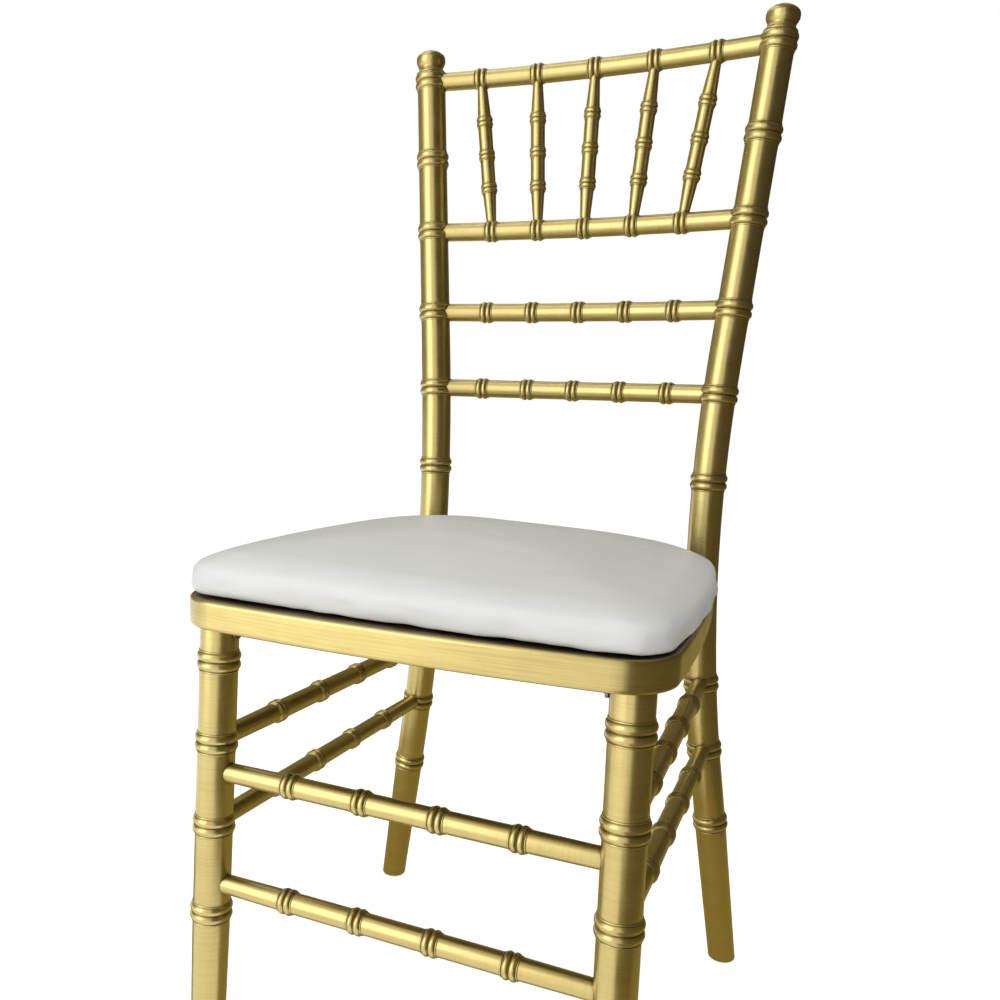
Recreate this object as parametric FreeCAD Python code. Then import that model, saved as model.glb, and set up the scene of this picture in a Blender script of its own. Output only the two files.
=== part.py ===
import FreeCAD
import Part
import math
import os

os.makedirs("parts", exist_ok=True)
V = FreeCAD.Vector
UP = V(0, 0, 1)

# A turned wooden chiavari chair with a loose crowned cushion. Sizes are in millimetres.
# The chair faces -Y, X runs across it, and the origin is on the floor between the four feet.

# Turned legs and posts
LEG_R = 15.0
POST_TOP_R = 14.1
FOOT_R = 13.3
FOOT_TAPER_TOP = 140.0
FOOT_ROUND = 2.0
TURNING_REACH = 6.0
TRIM_W = 100.0
TRIM_H = 60.0
CUT_PAST = 1.0
NEAR = 0.01

# Seat frame outline and height
SEAT_BOTTOM = 394.8
SEAT_T = 22.7
SEAT_HALF_W = 187.2
SEAT_WIDEST_Y = -173.4
SEAT_SIDE_R = 1800.0
SEAT_FRONT_Y = -214.8
SEAT_FRONT_R = 1676.0
SEAT_CORNER_R = 39.2
SEAT_REAR_Y = 184.0
SEAT_REAR_CORNER_R = 6.0
SEAT_BAND_W = 42.0
SEAT_INNER_CORNER_R = 14.0
SEAT_EDGE_ROUND = 3.0

# Rear posts: a straight leg, a long bend through the seat's rear corners and a straight back
BEND_X = SEAT_HALF_W - 55.2
BEND_Y = SEAT_REAR_Y - 17.5
BEND_Z = SEAT_BOTTOM + 15.2
BEND_R = 1580.0
REAR_FOOT_X = BEND_X + 61.2
REAR_FOOT_Y = BEND_Y + 30.5
POST_TOP_X = BEND_X + 35.0
POST_TOP_Y = BEND_Y + 23.0
CORNER_BEYOND_POST = 5.0

# Front legs: straight, a little splayed
FRONT_TOP_X = SEAT_HALF_W - 26.6
FRONT_TOP_Y = SEAT_FRONT_Y + 35.0
FRONT_FOOT_X = FRONT_TOP_X + 8.7
FRONT_FOOT_Y = FRONT_TOP_Y - 17.2

# Heights of what joins the posts and legs
TOP_RAIL_Z = 880.5
SPINDLE_RAIL_Z = 734.5
UPPER_RAIL_Z = 654.5
LOWER_RAIL_Z = 578.0
SIDE_UPPER_Z = 300.0
SIDE_LOWER_Z = 231.5
FRONT_UPPER_Z = 275.5
FRONT_LOWER_Z = 181.5
REAR_STRETCHER_Z = 325.0

# Heights of the ring groups that carry nothing
POST_RING_HIGH_Z = 805.0
POST_RING_LOW_Z = 497.0
REAR_LEG_RING_Z = 154.0
FRONT_LEG_RING_TOP_Z = 365.5
FRONT_LEG_RING_LOW_Z = 157.0

# Finial above the top ring group, measured up the post
NECK_R = 12.1
BULB_R = 14.5
NECK_UP = 12.6
BULB_LOW_UP = 16.7
BULB_HIGH_UP = 21.5
DOME_UP = 30.0
SHOULDER_R = 5.0
NECK_BAND = 1.2
NECK_SLOPE = 2.0
NECK_FLARE = 0.4
BULB_TAPER = 0.8
BULB_TAPER_H = 2.0

# Ring groups: two round beads with a thin lip on each side (pitch, how far the beads stand out, lip width)
POST_RING = (7.2, 2.0, 1.5)
KNUCKLE = (5.4, 1.8, 1.2)
SPINDLE_KNUCKLE = (4.2, 1.3, 1.0)
LIP_PROUD = 0.6
RING_SINK = 0.4
RING_GROOVE = 0.2
RING_ROOT = 1.0
RING_SEAM = 45.0

# Back rails and spindles
TOP_RAIL_R = 8.3
RAIL_R = 8.75
RAIL_BOW = 13.0
TOP_KNUCKLE_PITCH = 57.3
RAIL_KNUCKLE_PITCH = 47.5
RAIL_KNUCKLES = 5
SPINDLE_R = 6.9
SPINDLE_END_R = 4.8
SPINDLE_KNUCKLE_PITCH = 32.0
SPINDLE_KNUCKLES = 3

# Stretchers
STRETCHER_R = 8.3
STRETCHER_END_R = 7.8
FRONT_KNUCKLE_PITCH = 61.5
SIDE_KNUCKLE_PITCH = 66.0
REAR_KNUCKLE_PITCH = 61.5
STRETCHER_KNUCKLES = 4

# Round tenons and their sockets
TENON_R = 5.0
TENON_DEPTH = 18.0
SPINDLE_TENON_R = 3.2
SPINDLE_TENON_DEPTH = 8.0
LEG_TENON_R = 11.0
LEG_TENON_H = 16.0
JOINT_GAP = 0.1
SOCKET_SPACE = 1.0
TENON_ROOT = 3.0
SOCKET_REACH = 8.0
SCRIBE_H = 50.0

# Seat frame joints
FRONT_JOINT_Y = SEAT_FRONT_Y + 84.8
REAR_JOINT_X = BEND_X - 28.0
DOWEL_R = 4.0
DOWEL_L = 32.0
DOWEL_SPACING = 20.0

# Seat board, its corner blocks and its screws
BOARD_T = 6.0
BOARD_SUNK = 0.5
BOARD_GAP = 0.3
BLOCK_LEG = 46.0
BLOCK_H = 12.0
BLOCK_SLOPE = 1.5
BLOCK_SCREW_SHARE = 0.31
SCREW_R = 2.0
SCREW_HEAD_R = 4.0
SCREW_HEAD_H = 2.4
SCREW_BITE = 4.0

# Steel brackets at the front leg tops
BRACKET_T = 2.0
BRACKET_W = 10.0
BRACKET_DROP = 11.0
BRACKET_REACH = 24.0
BRACKET_SCREW_R = 1.5
BRACKET_SCREW_HEAD_R = 3.0
BRACKET_SCREW_HEAD_H = 1.4
BRACKET_SCREW_HEAD_SLOPE = 1.0
BRACKET_SCREW_L = 12.0

# Post bolts and barrel nuts
BOLT_R = 3.0
BOLT_HEAD_R = 5.0
BOLT_HEAD_H = 5.0
BOLT_HEAD_SUNK = 1.0
BOLT_L = 62.0
BOLT_NUT_FROM_END = 8.0
BOLT_HOLE_GAP = 0.25
KEY_R = 2.5
KEY_DEPTH = 2.5
BARREL_R = 5.0
BARREL_H = 16.0

# Floor glides with their nails
GLIDE_R = 8.0
GLIDE_H = 4.0
GLIDE_PROUD = 1.0
NAIL_R = 1.0
NAIL_L = 16.0

# Loose cushion
CUSHION_HALF_W = SEAT_HALF_W + 1.4
CUSHION_WIDEST_Y = -103.0
CUSHION_SIDE_R = 860.0
CUSHION_FRONT_Y = SEAT_FRONT_Y + 8.4
CUSHION_FRONT_R = 2470.0
CUSHION_CORNER_R = 31.0
CUSHION_REAR_Y = SEAT_REAR_Y - 41.2
CUSHION_REAR_CORNER_R = 105.0
CUSHION_CENTRE_Y = -24.5
CUSHION_BASE_H = 13.4
CUSHION_EDGE_H = 10.8
CUSHION_CROWN_H = 21.4
CUSHION_EDGE_IN = 10.9
CUSHION_BASE_IN = 6.1
CUSHION_PEAK_SHARE = 0.1
COVER_T = 1.0
CUSHION_BOARD_T = 5.0
HEM_W = 14.0
CLOTH_GAP = 0.3
FOAM_GAP = 0.3

# Hook and loop tabs between the seat board and the cushion
TAB_W = 30.0
TAB_L = 45.0
TAB_T = 1.2
TAB_X = 85.0
TAB_FRONT_Y = -110.0
TAB_REAR_Y = 90.0
TAB_GAP = 0.2

SEAT_TOP = SEAT_BOTTOM + SEAT_T
BOARD_TOP = SEAT_TOP - BOARD_SUNK
BOARD_BOTTOM = BOARD_TOP - BOARD_T
CUSHION_BOTTOM = BOARD_TOP + 2 * TAB_T + TAB_GAP


# Helpers for round work

def placed(shape, point, axis):
    """Moves a shape built up the Z axis so that it starts at point and runs along axis."""
    shape = shape.copy()
    shape.Placement = FreeCAD.Placement(point, FreeCAD.Rotation(UP, axis))
    return shape


def cylinder(point, axis, radius, length):
    return placed(Part.makeCylinder(radius, length), point, axis)


def turned(point, axis, stations):
    """A turned piece from (distance along the axis, radius) stations."""
    corners = [V(0, 0, stations[0][0])]
    corners += [V(radius, 0, along) for along, radius in stations]
    corners += [V(0, 0, stations[-1][0])]
    face = Part.Face(Part.makePolygon(corners + corners[:1]))
    return placed(face.revolve(V(0, 0, 0), UP, 360), point, axis)


def bent_bar(start, axis, radius, centre, turn):
    """A round bar that runs along axis from start and turns about the centre by this angle in degrees."""
    disc = Part.Face(Part.Wire(Part.Circle(start, axis, radius).toShape()))
    return disc.revolve(centre, axis.cross(centre - start), turn)


def ring_group(point, axis, radius, ring):
    """Two round beads with a thin lip on each side. Their seam is turned away from the shaft's own."""
    pitch, proud, lip = ring
    reach = pitch + lip
    sunk = radius - RING_SINK
    groove = radius + RING_GROOVE
    steps = [((-reach, sunk), (-pitch, groove), LIP_PROUD), ((-pitch, groove), (0, groove), proud),
             ((0, groove), (pitch, groove), proud), ((pitch, groove), (reach, sunk), LIP_PROUD)]
    edges = []
    for low, high, rise in steps:
        middle = V(radius + rise, 0, (low[0] + high[0]) / 2)
        edges.append(Part.Arc(V(low[1], 0, low[0]), middle, V(high[1], 0, high[0])).toShape())
    core = sunk - RING_ROOT
    back = Part.makePolygon([V(sunk, 0, reach), V(core, 0, reach), V(core, 0, -reach), V(sunk, 0, -reach)])
    face = Part.Face(Part.Wire(edges + back.Edges))
    face.rotate(V(0, 0, 0), UP, RING_SEAM)
    return placed(face.revolve(V(0, 0, 0), UP, 360), point, axis)


def fused(shapes):
    return shapes[0].multiFuse(shapes[1:])


def mirrored(shape):
    """The left-hand copy of a right-hand piece."""
    return shape.mirror(V(0, 0, 0), V(1, 0, 0))


def tenon(point, axis, radius, depth, host_r):
    """A round tenon at a member's end. The point is on the host's axis, and axis runs into the member."""
    start = point + axis * (host_r - depth)
    return cylinder(start, axis, radius, depth + TENON_ROOT)


def socket(point, axis, radius, depth, host_r):
    """The bore in the host that takes the same tenon with room for glue."""
    start = point + axis * (host_r - depth - SOCKET_SPACE)
    return cylinder(start, axis, radius + JOINT_GAP, depth + SOCKET_SPACE + SOCKET_REACH)


def scribe(point, axis, radius, ring):
    """A short length of the host, a joint gap fatter, that shapes the end of what meets it."""
    stub = cylinder(point - axis * (SCRIBE_H / 2), axis, radius + JOINT_GAP, SCRIBE_H)
    if ring is None:
        return stub
    return stub.fuse(ring_group(point, axis, radius + JOINT_GAP, ring))


# Rear post

def post_path():
    """Foot, bend start, bend centre, bend end and top of the right post's axis, and its two directions."""
    foot = V(REAR_FOOT_X, REAR_FOOT_Y, 0)
    corner = V(BEND_X, BEND_Y, BEND_Z)
    top = V(POST_TOP_X, POST_TOP_Y, TOP_RAIL_Z)
    low = (corner - foot).normalize()
    high = (top - corner).normalize()
    half = low.getAngle(high) / 2
    reach = BEND_R * math.tan(half)
    centre = corner + (high - low).normalize() * (BEND_R / math.cos(half))
    return foot, corner - low * reach, centre, corner + high * reach, top, low, high


def post_point(height):
    """The point of the right post's axis at this height, and the axis direction there."""
    foot, start, centre, end, top, low, high = post_path()
    if height <= start.z:
        return foot + low * (height / low.z), low
    if height >= end.z:
        return top + high * ((height - top.z) / high.z), high
    inward = (centre - start).normalize()
    size = math.hypot(low.z, inward.z)
    lead = math.atan2(inward.z, low.z)
    turn = lead + math.asin(((height - start.z) / BEND_R - inward.z) / size)
    point = start + low * (BEND_R * math.sin(turn)) + inward * (BEND_R * (1 - math.cos(turn)))
    return point, low * math.cos(turn) + inward * math.sin(turn)


def beside(centre, radius, lean):
    """The point of a circle in the XZ plane that leans this far from straight up."""
    return centre + V(math.sin(lean), 0, math.cos(lean)) * radius


def finial():
    """The mushroom knob that ends the post."""
    point, axis = post_point(TOP_RAIL_Z)
    band = [(0, POST_TOP_R), (POST_RING[0] + POST_RING[2], POST_TOP_R), (NECK_UP - NECK_SLOPE, NECK_R + NECK_FLARE),
            (NECK_UP, NECK_R), (NECK_UP + NECK_BAND, NECK_R), (BULB_LOW_UP, BULB_R - BULB_TAPER),
            (BULB_LOW_UP + BULB_TAPER_H, BULB_R), (BULB_HIGH_UP, BULB_R)]
    corners = [V(0, 0, 0)] + [V(radius, 0, along) for along, radius in band]
    rise = DOME_UP - BULB_HIGH_UP
    cap_r = (BULB_R * (BULB_R - 2 * SHOULDER_R) + rise * rise) / (2 * (rise - SHOULDER_R))
    cap = V(0, 0, DOME_UP - cap_r)
    shoulder = V(BULB_R - SHOULDER_R, 0, BULB_HIGH_UP)
    lean = math.atan2(shoulder.x, shoulder.z - cap.z)
    meet = beside(cap, cap_r, lean)
    turn = Part.Arc(corners[-1], beside(shoulder, SHOULDER_R, (lean + math.pi / 2) / 2), meet).toShape()
    dome = Part.Arc(meet, beside(cap, cap_r, lean / 2), V(0, 0, DOME_UP)).toShape()
    rest = Part.makePolygon(corners)
    axis_line = Part.makeLine(V(0, 0, DOME_UP), V(0, 0, 0))
    face = Part.Face(Part.Wire(rest.Edges + [turn, dome, axis_line]))
    return placed(face.revolve(V(0, 0, 0), UP, 360), point, axis)


def trim_box(point, bottom):
    """A block about this point that trims the end of a leg."""
    return Part.makeBox(TRIM_W, TRIM_W, TRIM_H, V(point.x - TRIM_W / 2, point.y - TRIM_W / 2, bottom))


def floor_trimmed(shape, point):
    """Cuts a turned foot level just above the floor and rounds its rim."""
    shape = shape.cut(trim_box(point, GLIDE_PROUD - TRIM_H))
    rim = [edge for edge in shape.Edges if abs(edge.BoundBox.ZMax - GLIDE_PROUD) < NEAR]
    return shape.makeFillet(FOOT_ROUND, rim)


def post_radius(height):
    """The right post's radius at this height: even up to the end of the bend, then thinner towards the top."""
    foot, start, centre, end, top, low, high = post_path()
    share = max(0, (height - end.z) / (top.z - end.z))
    return LEG_R + (POST_TOP_R - LEG_R) * share


def post_bend(grow):
    """The bent length of the right post that passes the seat."""
    foot, start, centre, end, top, low, high = post_path()
    return bent_bar(start, low, LEG_R + grow, centre, math.degrees(low.getAngle(high)))


def post_body():
    """The right post's outer form."""
    foot, start, centre, end, top, low, high = post_path()
    leg = turned(foot, low, [(-TURNING_REACH, FOOT_R), (0, FOOT_R), (FOOT_TAPER_TOP / low.z, LEG_R),
                             (start.distanceToPoint(foot), LEG_R)])
    back = turned(end, high, [(0, LEG_R), (end.distanceToPoint(top), POST_TOP_R)])
    heights = [POST_RING_HIGH_Z, POST_RING_LOW_Z, REAR_LEG_RING_Z, TOP_RAIL_Z, SPINDLE_RAIL_Z, UPPER_RAIL_Z,
               LOWER_RAIL_Z, SIDE_UPPER_Z, SIDE_LOWER_Z]
    rings = [ring_group(*post_point(height), post_radius(height), POST_RING) for height in heights]
    body = fused([leg, post_bend(0), back, finial()] + rings)
    return floor_trimmed(body, foot)


# Front leg

def leg_axis():
    foot = V(FRONT_FOOT_X, FRONT_FOOT_Y, 0)
    top = V(FRONT_TOP_X, FRONT_TOP_Y, SEAT_BOTTOM)
    return foot, top, (top - foot).normalize()


def leg_point(height):
    foot, top, axis = leg_axis()
    return foot + axis * (height / axis.z)


def leg_body():
    """The right front leg's outer form up to the seat frame."""
    foot, top, axis = leg_axis()
    length = top.distanceToPoint(foot)
    core = turned(foot, axis, [(-TURNING_REACH, FOOT_R), (0, FOOT_R), (FOOT_TAPER_TOP / axis.z, LEG_R),
                               (length + TURNING_REACH, LEG_R)])
    heights = [FRONT_LEG_RING_TOP_Z, SIDE_UPPER_Z, SIDE_LOWER_Z, FRONT_LEG_RING_LOW_Z]
    rings = [ring_group(leg_point(height), axis, LEG_R, POST_RING) for height in heights]
    body = fused([core] + rings).cut(trim_box(top, SEAT_BOTTOM))
    return floor_trimmed(body, foot)


# Back rails, bowed back between the posts

def rail_radius_of_bow(height):
    half = post_point(height)[0].x
    return (half * half + RAIL_BOW * RAIL_BOW) / (2 * RAIL_BOW)


def rail_point(height, x):
    """The point of a bowed rail's axis at this x, and the direction of the axis towards +X."""
    end = post_point(height)[0]
    bow = rail_radius_of_bow(height)
    flat = math.sqrt(bow * bow - x * x)
    return V(x, end.y + RAIL_BOW - bow + flat, height), V(flat / bow, -x / bow, 0)


def spread(count, pitch):
    """Evenly spaced places about a middle."""
    return [(number - (count - 1) / 2) * pitch for number in range(count)]


def rail_body(height, radius, pitch):
    """A bowed rail from post axis to post axis with its knuckles."""
    left, axis = rail_point(height, -post_point(height)[0].x)
    centre = rail_point(height, 0)[0] - V(0, rail_radius_of_bow(height), 0)
    bar = bent_bar(left, axis, radius, centre, 2 * math.degrees(math.atan2(-left.x, left.y - centre.y)))
    rings = [ring_group(*rail_point(height, x), radius, KNUCKLE) for x in spread(RAIL_KNUCKLES, pitch)]
    return fused([bar] + rings)


def rail_end(height):
    """The right end of a rail on the post's axis, and the direction back into the rail."""
    point, axis = rail_point(height, post_point(height)[0].x)
    return point, axis * -1


# Straight members: stretchers and spindles

def straight_member(first, last, end_r, middle_r, hosts_r, knuckles, ring):
    """A turned bar between two host axes, thinner at both ends, with ring groups at the knuckles."""
    axis = (last - first).normalize()
    length = last.distanceToPoint(first)
    places = [length / 2 + offset for offset in knuckles]
    bar = turned(first, axis, [(0, end_r), (hosts_r, end_r), (places[0], middle_r), (places[-1], middle_r),
                               (length - hosts_r, end_r), (length, end_r)])
    rings = [ring_group(first + axis * place, axis, middle_r, ring) for place in places]
    return fused([bar] + rings)


def stretcher(first, last, pitch, hosts):
    """A stretcher scribed to its hosts, with a round tenon at each end."""
    axis = (last - first).normalize()
    bar = straight_member(first, last, STRETCHER_END_R, STRETCHER_R, LEG_R, spread(STRETCHER_KNUCKLES, pitch),
                          KNUCKLE)
    ends = [tenon(first, axis, TENON_R, TENON_DEPTH, LEG_R), tenon(last, axis * -1, TENON_R, TENON_DEPTH, LEG_R)]
    return fused([bar.cut(hosts)] + ends)


def spindle_places(number):
    """Where a spindle starts on the spindle rail and ends on the top rail: points and rail directions."""
    place = number - (RAIL_KNUCKLES - 1) / 2
    low, low_axis = rail_point(SPINDLE_RAIL_Z, place * RAIL_KNUCKLE_PITCH)
    high, high_axis = rail_point(TOP_RAIL_Z, place * TOP_KNUCKLE_PITCH)
    return low, low_axis, high, high_axis


def spindle(number):
    low, low_axis, high, high_axis = spindle_places(number)
    axis = (high - low).normalize()
    bar = straight_member(low, high, SPINDLE_END_R, SPINDLE_R, RAIL_R,
                          spread(SPINDLE_KNUCKLES, SPINDLE_KNUCKLE_PITCH), SPINDLE_KNUCKLE)
    bar = bar.cut([scribe(low, low_axis, RAIL_R, KNUCKLE), scribe(high, high_axis, TOP_RAIL_R, KNUCKLE)])
    foot = tenon(low, axis, SPINDLE_TENON_R, SPINDLE_TENON_DEPTH, RAIL_R)
    head = tenon(high, axis * -1, SPINDLE_TENON_R, SPINDLE_TENON_DEPTH, TOP_RAIL_R)
    return fused([bar, foot, head])


def spindle_sockets(top):
    """The bores of one rail for all its spindles."""
    bores = []
    for number in range(RAIL_KNUCKLES):
        low, low_axis, high, high_axis = spindle_places(number)
        axis = (high - low).normalize()
        if top:
            bores.append(socket(high, axis * -1, SPINDLE_TENON_R, SPINDLE_TENON_DEPTH, TOP_RAIL_R))
        else:
            bores.append(socket(low, axis, SPINDLE_TENON_R, SPINDLE_TENON_DEPTH, RAIL_R))
    return bores


# Seat outlines: a bowed front, rounded corners, sides that curve in towards the back

def circles_cross(first, first_r, second, second_r):
    """The crossing of two circles that lies nearer the front."""
    gap = second - first
    reach = gap.Length
    along = (first_r * first_r - second_r * second_r + reach * reach) / (2 * reach)
    aside = math.sqrt(first_r * first_r - along * along)
    foot = first + gap * (along / reach)
    across = V(-gap.y, gap.x, 0) * (aside / reach)
    options = [foot + across, foot - across]
    return min(options, key=lambda point: point.y)


def outline(half_w, widest_y, side_r, front_y, front_r, corner_r, rear_y, rear_corner_r):
    """A closed seat outline on the XY plane, symmetric about X = 0."""
    side_c = V(half_w - side_r, widest_y, 0)
    front_c = V(0, front_y + front_r, 0)
    corner_c = circles_cross(side_c, side_r - corner_r, front_c, front_r - corner_r)
    on_front = front_c + (corner_c - front_c).normalize() * front_r
    on_side = side_c + (corner_c - side_c).normalize() * side_r
    corner_mid = corner_c + ((on_front + on_side) * 0.5 - corner_c).normalize() * corner_r
    rear_c = V(side_c.x + math.sqrt((side_r - rear_corner_r) ** 2 - (rear_y - rear_corner_r - widest_y) ** 2),
               rear_y - rear_corner_r, 0)
    off_side = side_c + (rear_c - side_c).normalize() * side_r
    on_rear = V(rear_c.x, rear_y, 0)
    rear_mid = rear_c + ((off_side + on_rear) * 0.5 - rear_c).normalize() * rear_corner_r
    side_mid = side_c + ((on_side + off_side) * 0.5 - side_c).normalize() * side_r
    half = [(on_front, corner_mid, on_side), (on_side, side_mid, off_side), (off_side, rear_mid, on_rear)]

    def flip(point):
        return V(-point.x, point.y, 0)

    edges = [Part.Arc(flip(on_front), V(0, front_y, 0), on_front).toShape()]
    edges += [Part.Arc(*points).toShape() for points in half]
    edges.append(Part.makeLine(on_rear, flip(on_rear)))
    edges += [Part.Arc(flip(last), flip(middle), flip(first)).toShape() for first, middle, last in reversed(half)]
    return Part.Wire(edges)


def seat_outer():
    return outline(SEAT_HALF_W, SEAT_WIDEST_Y, SEAT_SIDE_R, SEAT_FRONT_Y, SEAT_FRONT_R, SEAT_CORNER_R,
                   SEAT_REAR_Y, SEAT_REAR_CORNER_R)


def seat_inner(gap):
    """The opening of the seat frame, made smaller all round by a gap."""
    inset = SEAT_BAND_W + gap
    return outline(SEAT_HALF_W - inset, SEAT_WIDEST_Y, SEAT_SIDE_R - inset, SEAT_FRONT_Y + inset,
                   SEAT_FRONT_R - inset, SEAT_INNER_CORNER_R, SEAT_REAR_Y - inset, SEAT_INNER_CORNER_R)


def slab(wire, bottom, height):
    """A flat piece of this outline."""
    solid = Part.Face(wire).extrude(V(0, 0, height))
    solid.translate(V(0, 0, bottom))
    return solid


def seat_ring():
    """The whole seat band with its rounded outer edges."""
    body = slab(seat_outer(), SEAT_BOTTOM, SEAT_T)
    level = [edge for edge in body.Edges if edge.BoundBox.ZLength < NEAR]
    body = body.makeFillet(SEAT_EDGE_ROUND, level)
    return body.cut(slab(seat_inner(0), SEAT_BOTTOM - CUT_PAST, SEAT_T + 2 * CUT_PAST))


def block_of(x_low, x_high, y_low, y_high):
    """A tall box over the seat for cutting the band into its rails."""
    return Part.makeBox(x_high - x_low, y_high - y_low, 3 * SEAT_T, V(x_low, y_low, SEAT_BOTTOM - SEAT_T))


def rear_corner_block():
    """Everything beyond the post at the seat's rear corner, where the post itself closes the corner."""
    far = 2 * SEAT_HALF_W
    block = Part.makeBox(far, far, 3 * SEAT_T, V(-far / 2, CORNER_BEYOND_POST, -SEAT_T))
    block.rotate(V(0, 0, 0), UP, -45)
    point = post_point(SEAT_BOTTOM)[0]
    block.translate(point)
    return block


# Fasteners and small parts

def front_dowels():
    """Right-hand dowels between the front rail and the side rail."""
    edge = SEAT_HALF_W - SEAT_BAND_W / 2
    middle = SEAT_BOTTOM + SEAT_T / 2
    return [(V(edge + offset, FRONT_JOINT_Y - DOWEL_L / 2, middle), V(0, 1, 0))
            for offset in (-DOWEL_SPACING / 2, DOWEL_SPACING / 2)]


def rear_dowels():
    """Right-hand dowels between the rear rail and the side rail."""
    edge = SEAT_REAR_Y - SEAT_BAND_W / 2
    middle = SEAT_BOTTOM + SEAT_T / 2
    return [(V(REAR_JOINT_X - DOWEL_L / 2, edge + offset, middle), V(1, 0, 0))
            for offset in (-DOWEL_SPACING / 2, DOWEL_SPACING / 2)]


def dowel_bores():
    """Bores for the right-hand dowels, with a little room at both ends."""
    bores = [cylinder(point - axis * SOCKET_SPACE, axis, DOWEL_R + JOINT_GAP, DOWEL_L + 2 * SOCKET_SPACE)
             for point, axis in front_dowels() + rear_dowels()]
    return fused(bores)


def bolt_line():
    """Where the right post bolt lies: its head's outer face, and the direction of its shank."""
    height = SEAT_BOTTOM + SEAT_T / 2
    axis_point = post_point(height)[0]
    return V(axis_point.x, axis_point.y + LEG_R - BOLT_HEAD_SUNK, height), V(0, -1, 0)


def post_bolt():
    head, axis = bolt_line()
    cap = cylinder(head, axis, BOLT_HEAD_R, BOLT_HEAD_H)
    turns = [math.radians(60 * corner) for corner in range(7)]
    hexagon = Part.makePolygon([V(KEY_R * math.cos(turn), KEY_R * math.sin(turn), 0) for turn in turns])
    key = Part.Face(hexagon).extrude(V(0, 0, KEY_DEPTH))
    shank = cylinder(head + axis * BOLT_HEAD_H, axis, BOLT_R, BOLT_L)
    return cap.cut(placed(key, head, axis)).fuse(shank)


def bolt_bores():
    """The stepped bore for the bolt, through the post and into the side rail."""
    head, axis = bolt_line()
    wide = cylinder(head - axis * SOCKET_REACH, axis, BOLT_HEAD_R + BOLT_HOLE_GAP, BOLT_HEAD_H + SOCKET_REACH)
    narrow = cylinder(head, axis, BOLT_R + BOLT_HOLE_GAP, BOLT_HEAD_H + BOLT_L + SOCKET_SPACE)
    return wide.fuse(narrow)


def barrel_place():
    """The middle of the barrel nut's lower end."""
    head, axis = bolt_line()
    centre = head + axis * (BOLT_HEAD_H + BOLT_L - BOLT_NUT_FROM_END)
    return V(centre.x, centre.y, centre.z - BARREL_H / 2)


def barrel_nut():
    """The cross dowel that the post bolt screws into."""
    head, axis = bolt_line()
    nut = cylinder(barrel_place(), UP, BARREL_R, BARREL_H)
    return nut.cut(cylinder(head, axis, BOLT_R + JOINT_GAP, 2 * BOLT_L))


def barrel_bore():
    """The nut's bore, drilled from the underside of the frame."""
    place = barrel_place()
    place.z = SEAT_BOTTOM - CUT_PAST
    depth = barrel_place().z + BARREL_H + JOINT_GAP - place.z
    return cylinder(place, UP, BARREL_R + JOINT_GAP, depth)


def bracket():
    """The right steel angle between the leg's inner side and the frame's underside."""
    top = leg_point(SEAT_BOTTOM)
    face_x = top.x - LEG_R - BOARD_GAP
    half = BRACKET_W / 2
    low = SEAT_BOTTOM - BRACKET_DROP + half
    upright = Part.makeBox(BRACKET_T, BRACKET_W, SEAT_BOTTOM - low, V(face_x - BRACKET_T, top.y - half, low))
    tip = cylinder(V(face_x - BRACKET_T, top.y, low), V(1, 0, 0), half, BRACKET_T)
    flat = Part.makeBox(BRACKET_REACH - half, BRACKET_W, BRACKET_T,
                        V(face_x - BRACKET_REACH + half, top.y - half, SEAT_BOTTOM - BRACKET_T))
    nose = cylinder(V(face_x - BRACKET_REACH + half, top.y, SEAT_BOTTOM - BRACKET_T), UP, half, BRACKET_T)
    plate = fused([upright, tip, flat, nose])
    for point, axis in bracket_screw_lines():
        plate = plate.cut(cylinder(point - axis * BRACKET_T, axis, BRACKET_SCREW_R + JOINT_GAP, 3 * BRACKET_T))
    return plate


def bracket_screw_lines():
    """The two screws of the right bracket: plate face and direction into the wood."""
    top = leg_point(SEAT_BOTTOM)
    plate_x = top.x - LEG_R - BOARD_GAP - BRACKET_T
    half = BRACKET_W / 2
    side = (V(plate_x, top.y, SEAT_BOTTOM - BRACKET_DROP + half), V(1, 0, 0))
    under = (V(plate_x + BRACKET_T - BRACKET_REACH + half, top.y, SEAT_BOTTOM - BRACKET_T), V(0, 0, 1))
    return [side, under]


def bracket_screw(point, axis):
    head = turned(point - axis * BRACKET_SCREW_HEAD_H, axis,
                  [(0, BRACKET_SCREW_HEAD_R - BRACKET_SCREW_HEAD_SLOPE),
                   (BRACKET_SCREW_HEAD_H / 2, BRACKET_SCREW_HEAD_R),
                   (BRACKET_SCREW_HEAD_H, BRACKET_SCREW_HEAD_R)])
    return head.fuse(cylinder(point, axis, BRACKET_SCREW_R, BRACKET_SCREW_L))


def bracket_screw_bores():
    return fused([cylinder(point, axis, BRACKET_SCREW_R, BRACKET_SCREW_L + SOCKET_SPACE)
                  for point, axis in bracket_screw_lines()])


def corner_block(front):
    """A right-hand block glued into an inner corner of the seat frame, under the board."""
    filler = slab(seat_inner(JOINT_GAP), BOARD_BOTTOM - BLOCK_H, BLOCK_H)
    inner = seat_inner(JOINT_GAP).BoundBox
    y = inner.YMin if front else inner.YMax
    x = corner_inner_x(front)
    deep = BLOCK_SLOPE * BLOCK_LEG if front else -BLOCK_SLOPE * BLOCK_LEG
    wide = BLOCK_LEG / 2
    corners = [V(x - BLOCK_LEG, y, 0), V(x + wide, y + deep, 0), V(x + wide, y, 0), V(x - BLOCK_LEG, y, 0)]
    wedge = slab(Part.makePolygon(corners), BOARD_BOTTOM - BLOCK_H, BLOCK_H)
    return filler.common(wedge)


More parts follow.
